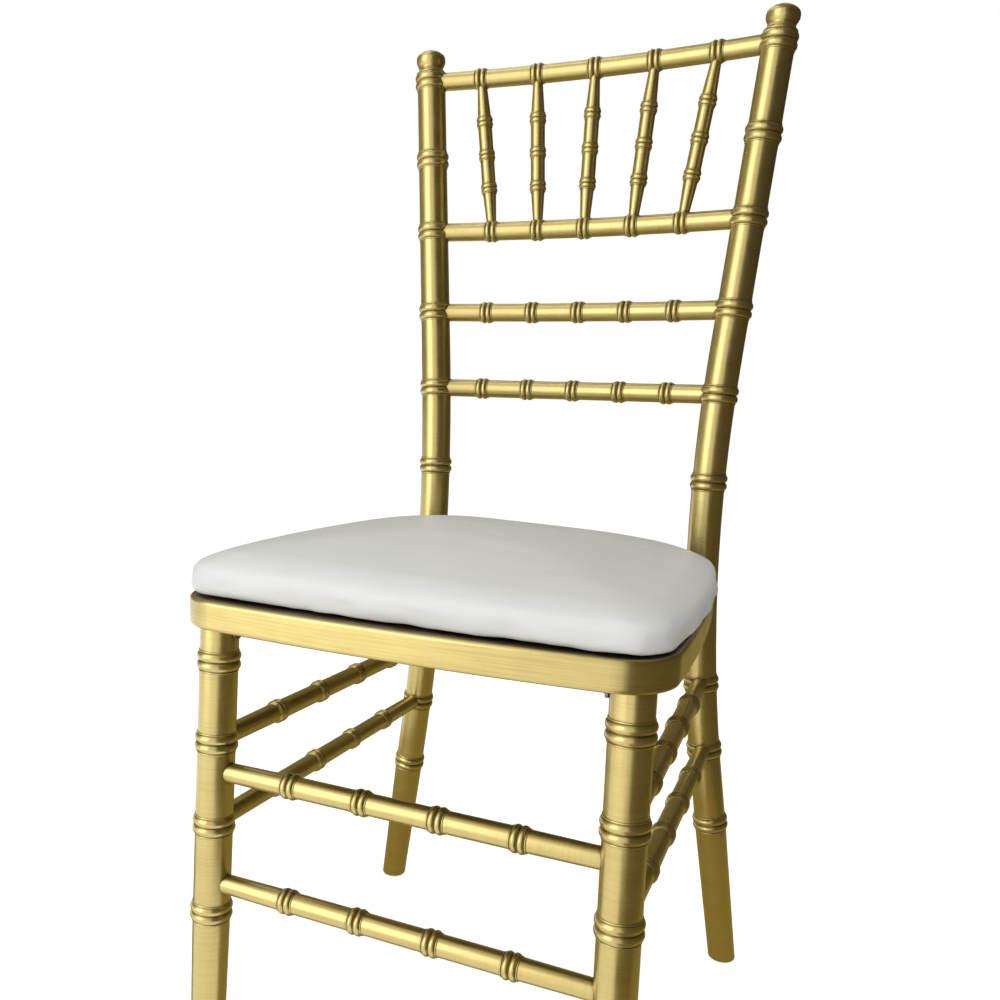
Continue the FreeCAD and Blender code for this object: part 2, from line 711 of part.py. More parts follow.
def corner_inner_x(front):
    """Where the frame's inner side would meet its inner front or rear edge."""
    inset = SEAT_BAND_W
    y = SEAT_FRONT_Y + inset if front else SEAT_REAR_Y - inset
    side = SEAT_SIDE_R - inset
    return SEAT_HALF_W - SEAT_SIDE_R + math.sqrt(side * side - (y - SEAT_WIDEST_Y) ** 2)


def board_screw_points():
    """Right-hand screws up through the blocks into the board."""
    away = BLOCK_LEG * BLOCK_SCREW_SHARE
    points = []
    for front in (True, False):
        y = SEAT_FRONT_Y + SEAT_BAND_W if front else SEAT_REAR_Y - SEAT_BAND_W
        toward = 1 if front else -1
        points.append(V(corner_inner_x(front) - away, y + toward * away, BOARD_BOTTOM - BLOCK_H))
    return points


def board_screw(point):
    head = turned(point, UP, [(0, SCREW_HEAD_R), (SCREW_HEAD_H, SCREW_R)])
    return head.fuse(cylinder(point, UP, SCREW_R, BLOCK_H + SCREW_BITE))


def board_screw_bores(points):
    bores = []
    for point in points:
        head_r = SCREW_HEAD_R + JOINT_GAP
        bores.append(turned(point, UP, [(-CUT_PAST, head_r), (0, head_r), (SCREW_HEAD_H, SCREW_R + JOINT_GAP)]))
        bores.append(cylinder(point, UP, SCREW_R + JOINT_GAP, BLOCK_H + SCREW_BITE + JOINT_GAP))
    return fused(bores)


def glide(foot):
    return Part.makeCylinder(GLIDE_R, GLIDE_H, foot).cut(nail(foot))


def glide_bore(foot):
    return Part.makeCylinder(GLIDE_R + JOINT_GAP, GLIDE_H, foot)


def nail(foot):
    return Part.makeCylinder(NAIL_R, NAIL_L, foot + V(0, 0, GLIDE_PROUD))


# Cushion

def cushion_outline():
    return outline(CUSHION_HALF_W, CUSHION_WIDEST_Y, CUSHION_SIDE_R, CUSHION_FRONT_Y, CUSHION_FRONT_R,
                   CUSHION_CORNER_R, CUSHION_REAR_Y, CUSHION_REAR_CORNER_R)


def cushion_section(share, height):
    """The cushion's outline shrunk about its middle and lifted."""
    wire = cushion_outline().scaled(share, V(0, CUSHION_CENTRE_Y, 0))
    wire.translate(V(0, 0, height))
    return wire


def cushion_form(skin):
    """The crowned form with drawn-in sides. A skin thickness gives the form inside the cover."""
    brim = CUSHION_BASE_H + CUSHION_EDGE_H
    steps = []
    for turn in (90, 65, 40, 15):
        inset = CUSHION_BASE_IN * (1 - math.cos(math.radians(turn)))
        steps.append((CUSHION_BASE_H * (1 - math.sin(math.radians(turn))), 1 - inset / CUSHION_HALF_W))
    for turn in (0, 25, 50, 75):
        inset = CUSHION_EDGE_IN * (1 - math.cos(math.radians(turn)))
        steps.append((CUSHION_BASE_H + CUSHION_EDGE_H * math.sin(math.radians(turn)), 1 - inset / CUSHION_HALF_W))
    for share in (0.88, 0.74, 0.54, 0.3, CUSHION_PEAK_SHARE):
        steps.append((brim + CUSHION_CROWN_H * (1 - share * share), share))
    thinner = 1 - skin / (brim + CUSHION_CROWN_H)
    sections = [cushion_section(share - skin / CUSHION_HALF_W, CUSHION_BOTTOM + height * thinner)
                for height, share in steps]
    return Part.makeLoft(sections, True, True)


def above(height):
    """A block that holds everything above this height."""
    far = 2 * SEAT_HALF_W
    return Part.makeBox(2 * far, 2 * far, far, V(-far, -far, height))


def tabs(bottom):
    """Four flat tabs of hook or loop tape."""
    pieces = []
    for x in (-TAB_X, TAB_X):
        for y in (TAB_FRONT_Y, TAB_REAR_Y):
            pieces.append(Part.makeBox(TAB_L, TAB_W, TAB_T, V(x - TAB_L / 2, y - TAB_W / 2, bottom)))
    return Part.makeCompound(pieces)


def save(name, shape):
    shape.exportStep("parts/" + name + ".step")


def save_pair(name, shape):
    """Writes a right-hand piece and its left-hand copy."""
    save(name + "_right", shape)
    save(name + "_left", mirrored(shape))


def save_group(name, shapes):
    """Writes right-hand pieces and their left-hand copies as one group of separate solids."""
    save(name, Part.makeCompound(shapes + [mirrored(shape) for shape in shapes]))


# Rear posts and front legs with every bore they take

foot_rear = V(REAR_FOOT_X, REAR_FOOT_Y, 0)
foot_front, leg_top, leg_run = leg_axis()
post_cuts = [bolt_bores(), glide_bore(foot_rear), nail(foot_rear)]
leg_cuts = [bracket_screw_bores(), glide_bore(foot_front), nail(foot_front)]

side_lines = {}
for level, height in (("upper", SIDE_UPPER_Z), ("lower", SIDE_LOWER_Z)):
    front = leg_point(height)
    rear = post_point(height)[0]
    run = (rear - front).normalize()
    side_lines[level] = (front, rear)
    leg_cuts.append(socket(front, run, TENON_R, TENON_DEPTH, LEG_R))
    post_cuts.append(socket(rear, run * -1, TENON_R, TENON_DEPTH, LEG_R))
for height in (TOP_RAIL_Z, SPINDLE_RAIL_Z, UPPER_RAIL_Z, LOWER_RAIL_Z):
    point, axis = rail_end(height)
    post_cuts.append(socket(point, axis, TENON_R, TENON_DEPTH, post_radius(height)))
post_cuts.append(socket(post_point(REAR_STRETCHER_Z)[0], V(-1, 0, 0), TENON_R, TENON_DEPTH, LEG_R))
for height in (FRONT_UPPER_Z, FRONT_LOWER_Z):
    leg_cuts.append(socket(leg_point(height), V(-1, 0, 0), TENON_R, TENON_DEPTH, LEG_R))

save_pair("rear_post", post_body().cut(post_cuts))
leg_tenon = Part.makeCylinder(LEG_TENON_R, LEG_TENON_H + TENON_ROOT, leg_top - V(0, 0, TENON_ROOT))
save_pair("front_leg", leg_body().fuse(leg_tenon).cut(leg_cuts))

# Back rails and spindles

rails = (("top_rail", TOP_RAIL_Z, TOP_RAIL_R, TOP_KNUCKLE_PITCH, spindle_sockets(True)),
         ("spindle_rail", SPINDLE_RAIL_Z, RAIL_R, RAIL_KNUCKLE_PITCH, spindle_sockets(False)),
         ("upper_back_rail", UPPER_RAIL_Z, RAIL_R, RAIL_KNUCKLE_PITCH, []),
         ("lower_back_rail", LOWER_RAIL_Z, RAIL_R, RAIL_KNUCKLE_PITCH, []))
for name, height, radius, pitch, bores in rails:
    host = scribe(*post_point(height), post_radius(height), POST_RING)
    point, axis = rail_end(height)
    end = tenon(point, axis, TENON_R, TENON_DEPTH, post_radius(height))
    rail = rail_body(height, radius, pitch).cut([host, mirrored(host)])
    rail = fused([rail, end, mirrored(end)])
    if bores:
        rail = rail.cut(bores)
    save(name, rail)

for number in range(RAIL_KNUCKLES):
    save("spindle_" + str(number + 1), spindle(number))

# Stretchers

for name, height in (("front_stretcher_upper", FRONT_UPPER_Z), ("front_stretcher_lower", FRONT_LOWER_Z)):
    right = leg_point(height)
    host = scribe(right, leg_run, LEG_R, None)
    save(name, stretcher(V(-right.x, right.y, height), right, FRONT_KNUCKLE_PITCH, [host, mirrored(host)]))
right, axis = post_point(REAR_STRETCHER_Z)
host = scribe(right, axis, LEG_R, None)
rear_bar = stretcher(V(-right.x, right.y, right.z), right, REAR_KNUCKLE_PITCH, [host, mirrored(host)])
save("rear_stretcher", rear_bar)
for level, (front, rear) in side_lines.items():
    hosts = [scribe(front, leg_run, LEG_R, POST_RING), scribe(*post_point(rear.z), LEG_R, POST_RING)]
    save_pair("side_stretcher_" + level, stretcher(front, rear, SIDE_KNUCKLE_PITCH, hosts))

# Seat frame rails

ring = seat_ring()
far = 2 * SEAT_HALF_W
half_gap = JOINT_GAP / 2
bores = dowel_bores()
all_bores = bores.fuse(mirrored(bores))

front_rail = ring.common(block_of(-far, far, -far, FRONT_JOINT_Y - half_gap)).cut(all_bores)
leg_mortise = Part.makeCylinder(LEG_TENON_R + JOINT_GAP, LEG_TENON_H + SOCKET_SPACE + TENON_ROOT,
                                leg_top - V(0, 0, TENON_ROOT))
bracket_bore = bracket_screw_bores()
for cutter in (leg_mortise, bracket_bore):
    front_rail = front_rail.cut(cutter).cut(mirrored(cutter))
save("seat_front_rail", front_rail)

side_rail = ring.common(block_of(REAR_JOINT_X + half_gap, far, FRONT_JOINT_Y + half_gap, far))
side_rail = side_rail.cut([post_bend(JOINT_GAP), rear_corner_block(), bores, bolt_bores(), barrel_bore()])
save_pair("seat_side_rail", side_rail)

rear_rail = ring.common(block_of(half_gap - REAR_JOINT_X, REAR_JOINT_X - half_gap, 0, far)).cut(all_bores)
save("seat_rear_rail", rear_rail)

dowels = [cylinder(point, axis, DOWEL_R, DOWEL_L) for point, axis in front_dowels() + rear_dowels()]
save_group("frame_dowels", dowels)

# Seat board, blocks and fasteners

screw_points = board_screw_points()
screw_bores = board_screw_bores(screw_points)
save_pair("corner_block_front", corner_block(True).cut(screw_bores))
save_pair("corner_block_rear", corner_block(False).cut(screw_bores))
board = slab(seat_inner(BOARD_GAP), BOARD_BOTTOM, BOARD_T).cut(screw_bores).cut(mirrored(screw_bores))
save("seat_board", board)
save_group("board_screws", [board_screw(point) for point in screw_points])
save_pair("leg_bracket", bracket())
save_group("bracket_screws", [bracket_screw(point, axis) for point, axis in bracket_screw_lines()])
save_group("post_bolts", [post_bolt()])
save_group("barrel_nuts", [barrel_nut()])
save_group("floor_glides", [glide(foot_rear), glide(foot_front)])
save_group("glide_nails", [nail(foot_rear), nail(foot_front)])
save("hook_tabs", tabs(BOARD_TOP))

# Cushion, from the bottom up

save("loop_tabs", tabs(CUSHION_BOTTOM - TAB_T))
cloth_share = 1 - (CUSHION_BASE_IN + HEM_W) / CUSHION_HALF_W
board_share = 1 - CUSHION_BASE_IN / CUSHION_HALF_W
hem_top = CUSHION_BOTTOM + COVER_T
board_top = hem_top + CUSHION_BOARD_T
save("cushion_bottom_cloth", slab(cushion_section(cloth_share - CLOTH_GAP / CUSHION_HALF_W, 0), CUSHION_BOTTOM,
                                  COVER_T))
save("cushion_board", slab(cushion_section(board_share, 0), hem_top, CUSHION_BOARD_T))
opening = slab(cushion_section(cloth_share, 0), CUSHION_BOTTOM - CUT_PAST, COVER_T + 2 * CUT_PAST)
cover = cushion_form(0).cut(cushion_form(COVER_T).common(above(hem_top))).cut(opening)
save("cushion_cover", cover)
save("cushion_foam", cushion_form(COVER_T + FOAM_GAP).common(above(board_top)))
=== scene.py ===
import math

import bmesh
import bpy
from mathutils import Matrix, Vector, noise
from mathutils.bvhtree import BVHTree


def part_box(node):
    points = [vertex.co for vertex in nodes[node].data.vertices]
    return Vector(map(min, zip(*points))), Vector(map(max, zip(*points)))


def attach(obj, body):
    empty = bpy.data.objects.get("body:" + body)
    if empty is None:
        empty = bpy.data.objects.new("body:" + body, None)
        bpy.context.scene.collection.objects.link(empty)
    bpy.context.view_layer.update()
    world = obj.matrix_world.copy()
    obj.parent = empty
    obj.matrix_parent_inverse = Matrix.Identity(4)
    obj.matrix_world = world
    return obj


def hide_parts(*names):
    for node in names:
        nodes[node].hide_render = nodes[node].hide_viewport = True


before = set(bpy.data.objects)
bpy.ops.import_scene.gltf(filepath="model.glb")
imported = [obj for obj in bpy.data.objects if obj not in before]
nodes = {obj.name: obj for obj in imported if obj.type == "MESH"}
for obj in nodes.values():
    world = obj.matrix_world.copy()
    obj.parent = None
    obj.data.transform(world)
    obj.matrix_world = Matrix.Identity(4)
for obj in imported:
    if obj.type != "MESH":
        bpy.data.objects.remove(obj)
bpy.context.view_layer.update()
scene = bpy.context.scene

# Rear posts. Each is one pole of turned beech, bent at the seat, sprayed with gold paint.
# The fine lathe marks run round the pole, so their pattern follows both straight lengths of the bend.

GOLD_TONES = ("#C3AF6A", "#CFBD78")
LATHE_TONE = "#A98F4B"
STREAK_TONE = "#A88C4A"
RUBBED_TONE = "#EDE4C2"
GROOVE_SHADE_TONE = "#46340E"
TOP_SHADE_TONE = "#54401A"
LATHE_MARK_MM = 1.1
LATHE_ROUND_MM = 1000 / 12
GRAIN_WIDTH_MM = 2.2
GRAIN_LENGTH_MM = 70.0
MOTTLE_MM = 16.0
RUB_MM = 9.0
GROOVE_SHADE_MM = 3.5
LATHE_SHOWS = (0.45, 0.75)
STREAK_SHOWS = (0.42, 0.72)
RUB_SHOWS = (0.74, 0.80)
RUB_SHARE = 0.6
GROOVE_SHADE_OPEN = (0.35, 0.92)
GROOVE_SHADE_SHARE = 0.95
TOP_FACE_UP = (0.75, 0.97)
LATHE_RELIEF = 0.8
PAINT_ROUGH = (0.27, 0.35)
POST_LOW_AXIS = (-0.1472, -0.0734, 0.9864)
POST_HIGH_AXIS = (0.0741, 0.0487, 0.9961)
POST_BEND = (0.30, 0.52)


def linear(code):
    """An sRGB hex colour as the linear numbers that a shader takes."""
    parts = [int(code[place:place + 2], 16) / 255 for place in (1, 3, 5)]
    return [part / 12.92 if part <= 0.04045 else ((part + 0.055) / 1.055) ** 2.4 for part in parts] + [1.0]


def add(material, kind, values=None, links=None):
    """Adds a shader node, sets its properties and sockets, and links the sockets that other nodes feed."""
    node = material.node_tree.nodes.new("ShaderNode" + kind)
    for key, value in (values or {}).items():
        if isinstance(key, str) and key.islower():
            setattr(node, key, value)
        else:
            node.inputs[key].default_value = value
    for key, source in (links or {}).items():
        material.node_tree.links.new(source, node.inputs[key])
    return node


def new_material(name):
    """An empty node material and its Object coordinates, whole and split."""
    material = bpy.data.materials.new(name)
    material.use_nodes = True
    material.node_tree.nodes.clear()
    place = add(material, "TexCoord").outputs["Object"]
    split = add(material, "SeparateXYZ", {}, {0: place})
    return material, place, split.outputs


def finished(material, shader):
    """Links the last shader to the material's output."""
    add(material, "OutputMaterial", {}, {"Surface": shader.outputs[0]})
    return material


def joined(material, x, y, z):
    """Three numbers as one vector."""
    return add(material, "CombineXYZ", {}, {0: x, 1: y, 2: z}).outputs[0]


def clouds(material, place, size_mm, detail, rough=0.5):
    """Noise with spots of one size in millimetres."""
    values = {"Scale": 1000 / size_mm, "Detail": detail, "Roughness": rough}
    return add(material, "TexNoise", values, {"Vector": place}).outputs[0]


def long_clouds(material, place, sizes_mm, detail):
    """Noise with spots of one size along each axis."""
    scale = tuple(1000 / size for size in sizes_mm)
    stretched = add(material, "VectorMath", {"operation": "MULTIPLY", 1: scale}, {0: place})
    cloud = add(material, "TexNoise", {"Scale": 1.0, "Detail": detail}, {"Vector": stretched.outputs[0]})
    return cloud.outputs[0]


def ranged(material, source, given, wanted=(0.0, 1.0)):
    """A number moved from one range to another, and kept inside it."""
    values = {"From Min": given[0], "From Max": given[1], "To Min": wanted[0], "To Max": wanted[1]}
    return add(material, "MapRange", values, {0: source}).outputs[0]


def mixed(material, share, first, second):
    """A colour between two. Each is a hex code or the socket that makes it (6 and 7 take colours)."""
    values = {"data_type": "RGBA"}
    links = {0: share}
    for socket, tone in ((6, first), (7, second)):
        if isinstance(tone, str):
            values[socket] = linear(tone)
        else:
            links[socket] = tone
    return add(material, "Mix", values, links).outputs[2]


def bumped(material, height, strength, deep, below=None):
    """A bumped normal, on top of another one where it is given."""
    links = {"Height": height}
    if below is not None:
        links["Normal"] = below
    return add(material, "Bump", {"Strength": strength, "Distance": deep}, links).outputs[0]


def painted(name, make_turned, lathe_share, streak_share, top_shade_share=0.0):
    """Gold metallic paint on wood: lathe marks round the axis, streaks and rubbed spots, with painted shade
    in the grooves and, where asked, on the faces that look up.
    """
    material, place, split = new_material(name)
    turned = make_turned(material, place, split)
    lathe = long_clouds(material, turned, (LATHE_ROUND_MM, LATHE_ROUND_MM, LATHE_MARK_MM), 2.0)
    grain = long_clouds(material, turned, (GRAIN_WIDTH_MM, GRAIN_WIDTH_MM, GRAIN_LENGTH_MM), 2.0)
    mottle = clouds(material, place, MOTTLE_MM, 3.0)
    rub = clouds(material, place, RUB_MM, 3.0, 0.6)
    tone = mixed(material, mottle, *GOLD_TONES)
    scored = ranged(material, lathe, LATHE_SHOWS, (0.0, lathe_share))
    tone = mixed(material, scored, tone, LATHE_TONE)
    streak = ranged(material, grain, STREAK_SHOWS, (0.0, streak_share))
    tone = mixed(material, streak, tone, STREAK_TONE)
    rubbed = ranged(material, rub, RUB_SHOWS, (0.0, RUB_SHARE))
    tone = mixed(material, rubbed, tone, RUBBED_TONE)
    # Painted shade: ambient occlusion darkens the paint in grooves and creases, where shade falls.
    open_air = add(material, "AmbientOcclusion", {"samples": 6, "Distance": GROOVE_SHADE_MM / 1000})
    groove_shade = ranged(material, open_air.outputs["AO"], GROOVE_SHADE_OPEN, (GROOVE_SHADE_SHARE, 0.0))
    tone = mixed(material, groove_shade, tone, GROOVE_SHADE_TONE)
    # Painted shade: faces that look up are darkened, standing in for the shadow under the cushion.
    facing = add(material, "SeparateXYZ", {}, {0: add(material, "NewGeometry").outputs["Normal"]})
    top_shade = ranged(material, facing.outputs[2], TOP_FACE_UP, (0.0, top_shade_share))
    tone = mixed(material, top_shade, tone, TOP_SHADE_TONE)
    relief = add(material, "Math", {"operation": "MULTIPLY_ADD", 1: LATHE_RELIEF}, {0: lathe, 2: grain})
    bump = bumped(material, relief.outputs[0], 0.22, 0.0002)
    gloss = ranged(material, mottle, (0.3, 0.7), PAINT_ROUGH)
    shader = add(material, "BsdfPrincipled", {"Metallic": 0.9, "Coat Weight": 0.6, "Coat Roughness": 0.22},
                 {"Base Color": tone, "Roughness": gloss, "Normal": bump})
    return finished(material, shader)


def along_post(material, place, split):
    """Across, across and along the bent post. The left post mirrors the right one."""
    side = add(material, "Math", {"operation": "ABSOLUTE"}, {0: split[0]})
    folded = joined(material, side.outputs[0], split[1], split[2])
    low = add(material, "VectorMath", {"operation": "DOT_PRODUCT", 1: POST_LOW_AXIS}, {0: folded})
    high = add(material, "VectorMath", {"operation": "DOT_PRODUCT", 1: POST_HIGH_AXIS}, {0: folded})
    share = ranged(material, split[2], POST_BEND)
    run = add(material, "Mix", {}, {0: share, 2: low.outputs["Value"], 3: high.outputs["Value"]})
    return joined(material, split[0], split[1], run.outputs[0])


def finish_nodes(names, material):
    """Gives CAD nodes their material."""
    for name in names:
        slots = nodes[name].data.materials
        slots.clear()
        slots.append(material)


finish_nodes(["rear_post_left", "rear_post_right"],
             painted("gold_painted_beech_post", along_post, 0.22, 0.10))

# Front legs and spindles. They are straight turned beech, so the lathe marks lie level.
# The legs lean by under three degrees, too little to show in the marks.


def upright(material, place, split):
    """The piece stands along Z as it is."""
    return place


upright_paint = painted("gold_painted_beech_upright", upright, 0.28, 0.08)
finish_nodes(["front_leg_left", "front_leg_right"], upright_paint)
finish_nodes(["spindle_" + str(number) for number in range(1, 6)], upright_paint)

# Back rails and cross stretchers. Turned beech rods that lie across the chair.
# Their lathe marks run round the X axis.


def crosswise(material, place, split):
    """X becomes the lathe's axis."""
    return joined(material, split[1], split[2], split[0])


finish_nodes(["top_rail", "spindle_rail", "upper_back_rail", "lower_back_rail", "front_stretcher_upper",
              "front_stretcher_lower", "rear_stretcher"],
             painted("gold_painted_beech_crosswise", crosswise, 0.2, 0.12))

# Side stretchers. The same turned rods, run from front to back.
# Their lathe marks run round the Y axis.


def lengthwise(material, place, split):
    """Y becomes the lathe's axis."""
    return joined(material, split[0], split[2], split[1])


finish_nodes(["side_stretcher_" + level + "_" + side for level in ("upper", "lower")
              for side in ("left", "right")],
             painted("gold_painted_beech_lengthwise", lengthwise, 0.2, 0.12))

# Seat frame. A flat band of beech joined from four rails and sanded, then painted gold.
# Its grain shows through the paint as level streaks. Its top face under the cushion is coloured dark brown, a
# painted shade for the cushion's shadow.

# How strongly the band's top face is darkened with painted shade.
BAND_TOP_SHADE = 0.85


def level_grain(material, place, split):
    """The grain runs along X."""
    return joined(material, split[2], split[2], split[0])


def side_grain(material, place, split):
    """The grain runs along Y."""
    return joined(material, split[2], split[2], split[1])


finish_nodes(["seat_front_rail", "seat_rear_rail"],
             painted("gold_painted_beech_band", level_grain, 0.0, 0.4, BAND_TOP_SHADE))
finish_nodes(["seat_side_rail_left", "seat_side_rail_right"],
             painted("gold_painted_beech_side_band", side_grain, 0.0, 0.4, BAND_TOP_SHADE))

# Glue blocks and dowels. Bare beech, sawn and left unpainted under the seat.
# Fine growth rings run straight along the piece.

WOOD_RUN_MM = 1000 / 14


def bare_wood(name, pale, dark, grain_mm, rough):
    """Unpainted wood with straight grain along X."""
    material, place, split = new_material(name)
    rings = long_clouds(material, place, (WOOD_RUN_MM, grain_mm, grain_mm), 4.0)
    shader = add(material, "BsdfPrincipled", {"Roughness": rough},
                 {"Base Color": mixed(material, rings, pale, dark),
                  "Normal": bumped(material, rings, 0.3, 0.0002)})
    return finished(material, shader)


finish_nodes(["corner_block_" + place for place in ("front_left", "front_right", "rear_left", "rear_right")]
             + ["frame_dowels"], bare_wood("bare_beech", "#D2B48C", "#A98557", 2.0, 0.62))

# Seat board and cushion board. Thin birch plywood, sanded.
# The seat board is coloured as dark as the shaded line that shows under the cushion, a painted shade.

finish_nodes(["cushion_board"], bare_wood("birch_plywood", "#CDB28A", "#A88860", 5.0, 0.6))
finish_nodes(["seat_board"], bare_wood("shade_dark_plywood", "#5A4724", "#3E3013", 5.0, 0.6))

# Bolts, nuts, screws, nails and the angle brackets. Zinc-plated steel with a dull grey shine.
# The plating is cloudy: its paler spots are duller.

ZINC_CLOUD_MM = 3.0


def zinc_steel(name):
    """Cloudy zinc plating."""
    material, place, split = new_material(name)
    cloud = clouds(material, place, ZINC_CLOUD_MM, 3.0)
    shader = add(material, "BsdfPrincipled", {"Metallic": 1.0},
                 {"Base Color": mixed(material, cloud, "#6E6C66", "#A5A39C"),
                  "Roughness": ranged(material, cloud, (0.0, 1.0), (0.28, 0.5))})
    return finished(material, shader)


finish_nodes(["post_bolts", "barrel_nuts", "board_screws", "bracket_screws", "leg_bracket_left",
              "leg_bracket_right", "glide_nails"], zinc_steel("zinc_plated_steel"))

# Floor glides. Moulded brown nylon discs, one nailed under each leg.
# They are scuffed dull where they slide.

SCUFF_MM = 1.5


def moulded_nylon(name):
    """Brown nylon with fine scuffs."""
    material, place, split = new_material(name)
    scuff = clouds(material, place, SCUFF_MM, 2.0)
    shader = add(material, "BsdfPrincipled", {},
                 {"Base Color": mixed(material, scuff, "#3B3128", "#554639"),
                  "Roughness": ranged(material, scuff, (0.0, 1.0), (0.42, 0.65))})
    return finished(material, shader)


finish_nodes(["floor_glides"], moulded_nylon("moulded_nylon"))

# Hook and loop tabs. Black woven tape, cut with rounded corners and stuck down:
# the hook side on the seat board, the loop side under the cushion.

TAB_CORNER = 0.004
TAB_X = 0.085
TAB_YS = (-0.110, 0.090)
TAB_SIZE = (0.045, 0.030, 0.0012)


def woven_tape(name, pitch_mm):
    """Black tape with a tufted face."""
    material, place, split = new_material(name)
    tufts = add(material, "TexVoronoi", {"Scale": 1000 / pitch_mm}, {"Vector": place}).outputs[0]
    shader = add(material, "BsdfPrincipled", {"Roughness": 0.85, "Sheen Weight": 0.3},
                 {"Base Color": mixed(material, tufts, "#0F0F10", "#38383A"),
                  "Normal": bumped(material, tufts, 0.8, 0.0005)})
    return finished(material, shader)


def new_piece(name, mesh_tool, material, body):
    """Turns a bmesh into a piece that rides on a body."""
    bmesh.ops.recalc_face_normals(mesh_tool, faces=mesh_tool.faces)
    mesh = bpy.data.meshes.new(name)
    mesh_tool.to_mesh(mesh)
    mesh_tool.free()
    piece = bpy.data.objects.new(name, mesh)
    scene.collection.objects.link(piece)
    mesh.materials.append(material)
    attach(piece, body)
    return piece


def tape_tabs(name, node, body, material):
    """Four flat tabs on the heights of the CAD's own tabs."""
    low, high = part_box(node)
    tabs = bmesh.new()
    for x in (-TAB_X, TAB_X):
        for y in TAB_YS:
            middle = Vector((x, y, (low.z + high.z) / 2))
            size = Matrix.LocRotScale(middle, None, TAB_SIZE)
            cube = bmesh.ops.create_cube(tabs, size=1.0, matrix=size)["verts"]
            upright_edges = [edge for edge in tabs.edges if set(edge.verts) <= set(cube)
                             and abs(edge.verts[0].co.z - edge.verts[1].co.z) > TAB_SIZE[2] / 2]
            bmesh.ops.bevel(tabs, geom=upright_edges, offset=TAB_CORNER, segments=4, profile=0.5,
                            affect="EDGES", material=-1)
    piece = new_piece(name, tabs, material, body)
    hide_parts(node)
    return piece


tape_tabs("hook_tape_tabs", "hook_tabs", "chair", woven_tape("nylon_hook_tape", 1.2))
tape_tabs("loop_tape_tabs", "loop_tabs", "cushion", woven_tape("nylon_loop_tape", 0.8))

# Bottom cloth. Thin black woven cloth pulled tight under the cushion board.
# It ends inside the cover's hem.

WEAVE_SCALE = 50


def thin_cloth(name):
    """Black plain weave, from bands along X times bands along Y."""
    material, place, split = new_material(name)
    warp, weft = [add(material, "TexWave", {"bands_direction": way, "Scale": WEAVE_SCALE, "Distortion": 0.4},
                      {"Vector": place}).outputs[1] for way in ("X", "Y")]
    weave = add(material, "Math", {"operation": "MULTIPLY"}, {0: warp, 1: weft}).outputs[0]
    shader = add(material, "BsdfPrincipled", {"Roughness": 0.9},
                 {"Base Color": mixed(material, weave, "#141416", "#2E2E31"),
                  "Normal": bumped(material, weave, 0.5, 0.0003)})
    return finished(material, shader)


def copied(node):
    """A merged bmesh copy of a CAD node's mesh."""
    mesh_tool = bmesh.new()
    mesh_tool.from_mesh(nodes[node].data)
    bmesh.ops.remove_doubles(mesh_tool, verts=mesh_tool.verts, dist=0.00002)
    return mesh_tool


bottom_cloth = new_piece("cushion_bottom_cloth_sheet", copied("cushion_bottom_cloth"),
                         thin_cloth("black_lining_cloth"), "cushion")
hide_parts("cushion_bottom_cloth")

# Cushion. Ivory vinyl drawn over a crowned foam on the cushion board and stapled underneath: it is blown up
# from a slightly smaller form, and its hem is puckered and scalloped. The loose cushion lies a little turned
# and to the left and is fuller there. Over the bottom cloth the vinyl is sunk, so the cloth shows.

CUSHION_START = (0.995, 0.995, 0.97)
CUSHION_VOXEL = 0.005
CUSHION_PRESSURE = 4.0
CUSHION_FRAMES = 20
CUSHION_CAP = 0.005
CUSHION_HELD = 0.003
CUSHION_ROUND_MM = 180
FOAM_HOLD = 0.25
PEBBLE_MM = 1.6
SAG_MM = 60
PUCKER_MM = 16.0
PUCKER_DEEP = 0.003
PUCKER_HIGH = 0.014
HEM_SPREAD = 0.017
HEM_HIGH = 0.009
HEM_SAG = 0.0012
SCALLOP_MM = 18.0
SCALLOP_LEVEL = 0.6
CUSHION_TURN = 0.026
CUSHION_LEFT = 0.018
CUSHION_LEAN = 0.028
CUSHION_FULLER = 0.0010
CUSHION_END = 0.195
FRONT_REACH = 0.12
UNDERSIDE_SUNK = 0.004


def coated_vinyl(name):
    """Ivory vinyl with a fine embossed grain and a soft satin shine."""
    material, place, split = new_material(name)
    pebble = add(material, "TexVoronoi", {"feature": "SMOOTH_F1", "Scale": 1000 / PEBBLE_MM},
                 {"Vector": place})
    sag = clouds(material, place, SAG_MM, 2.0)
    fine = bumped(material, pebble.outputs[0], 0.12, 0.0003)
    shader = add(material, "BsdfPrincipled", {"Roughness": 0.42, "Coat Weight": 0.08, "Coat Roughness": 0.35},
                 {"Base Color": mixed(material, sag, "#E6E6E2", "#EDEDEA"),
                  "Normal": bumped(material, sag, 0.5, 0.004, fine)})
    return finished(material, shader)


low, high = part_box("cushion_cover")
middle = Vector(((low.x + high.x) / 2, (low.y + high.y) / 2, (low.z + high.z) / 2))
shell = copied("cushion_cover")
inner = [face for face in shell.faces if (face.calc_center_median() - middle).dot(face.normal) < 0]
bmesh.ops.delete(shell, geom=inner, context="FACES")
bmesh.ops.holes_fill(shell, edges=[edge for edge in shell.edges if edge.is_boundary], sides=0)
base = Vector((middle.x, middle.y, low.z))
bmesh.ops.scale(shell, vec=CUSHION_START, space=Matrix.Translation(-base), verts=shell.verts)
cushion = new_piece("cushion_vinyl_cover", shell, coated_vinyl("ivory_coated_vinyl"), "cushion")


def with_modifiers(piece):
    """Swaps a piece's mesh for the one that its modifiers make."""
    finish = bpy.data.meshes.new_from_object(piece.evaluated_get(bpy.context.evaluated_depsgraph_get()))
    piece.modifiers.clear()
    piece.data = finish


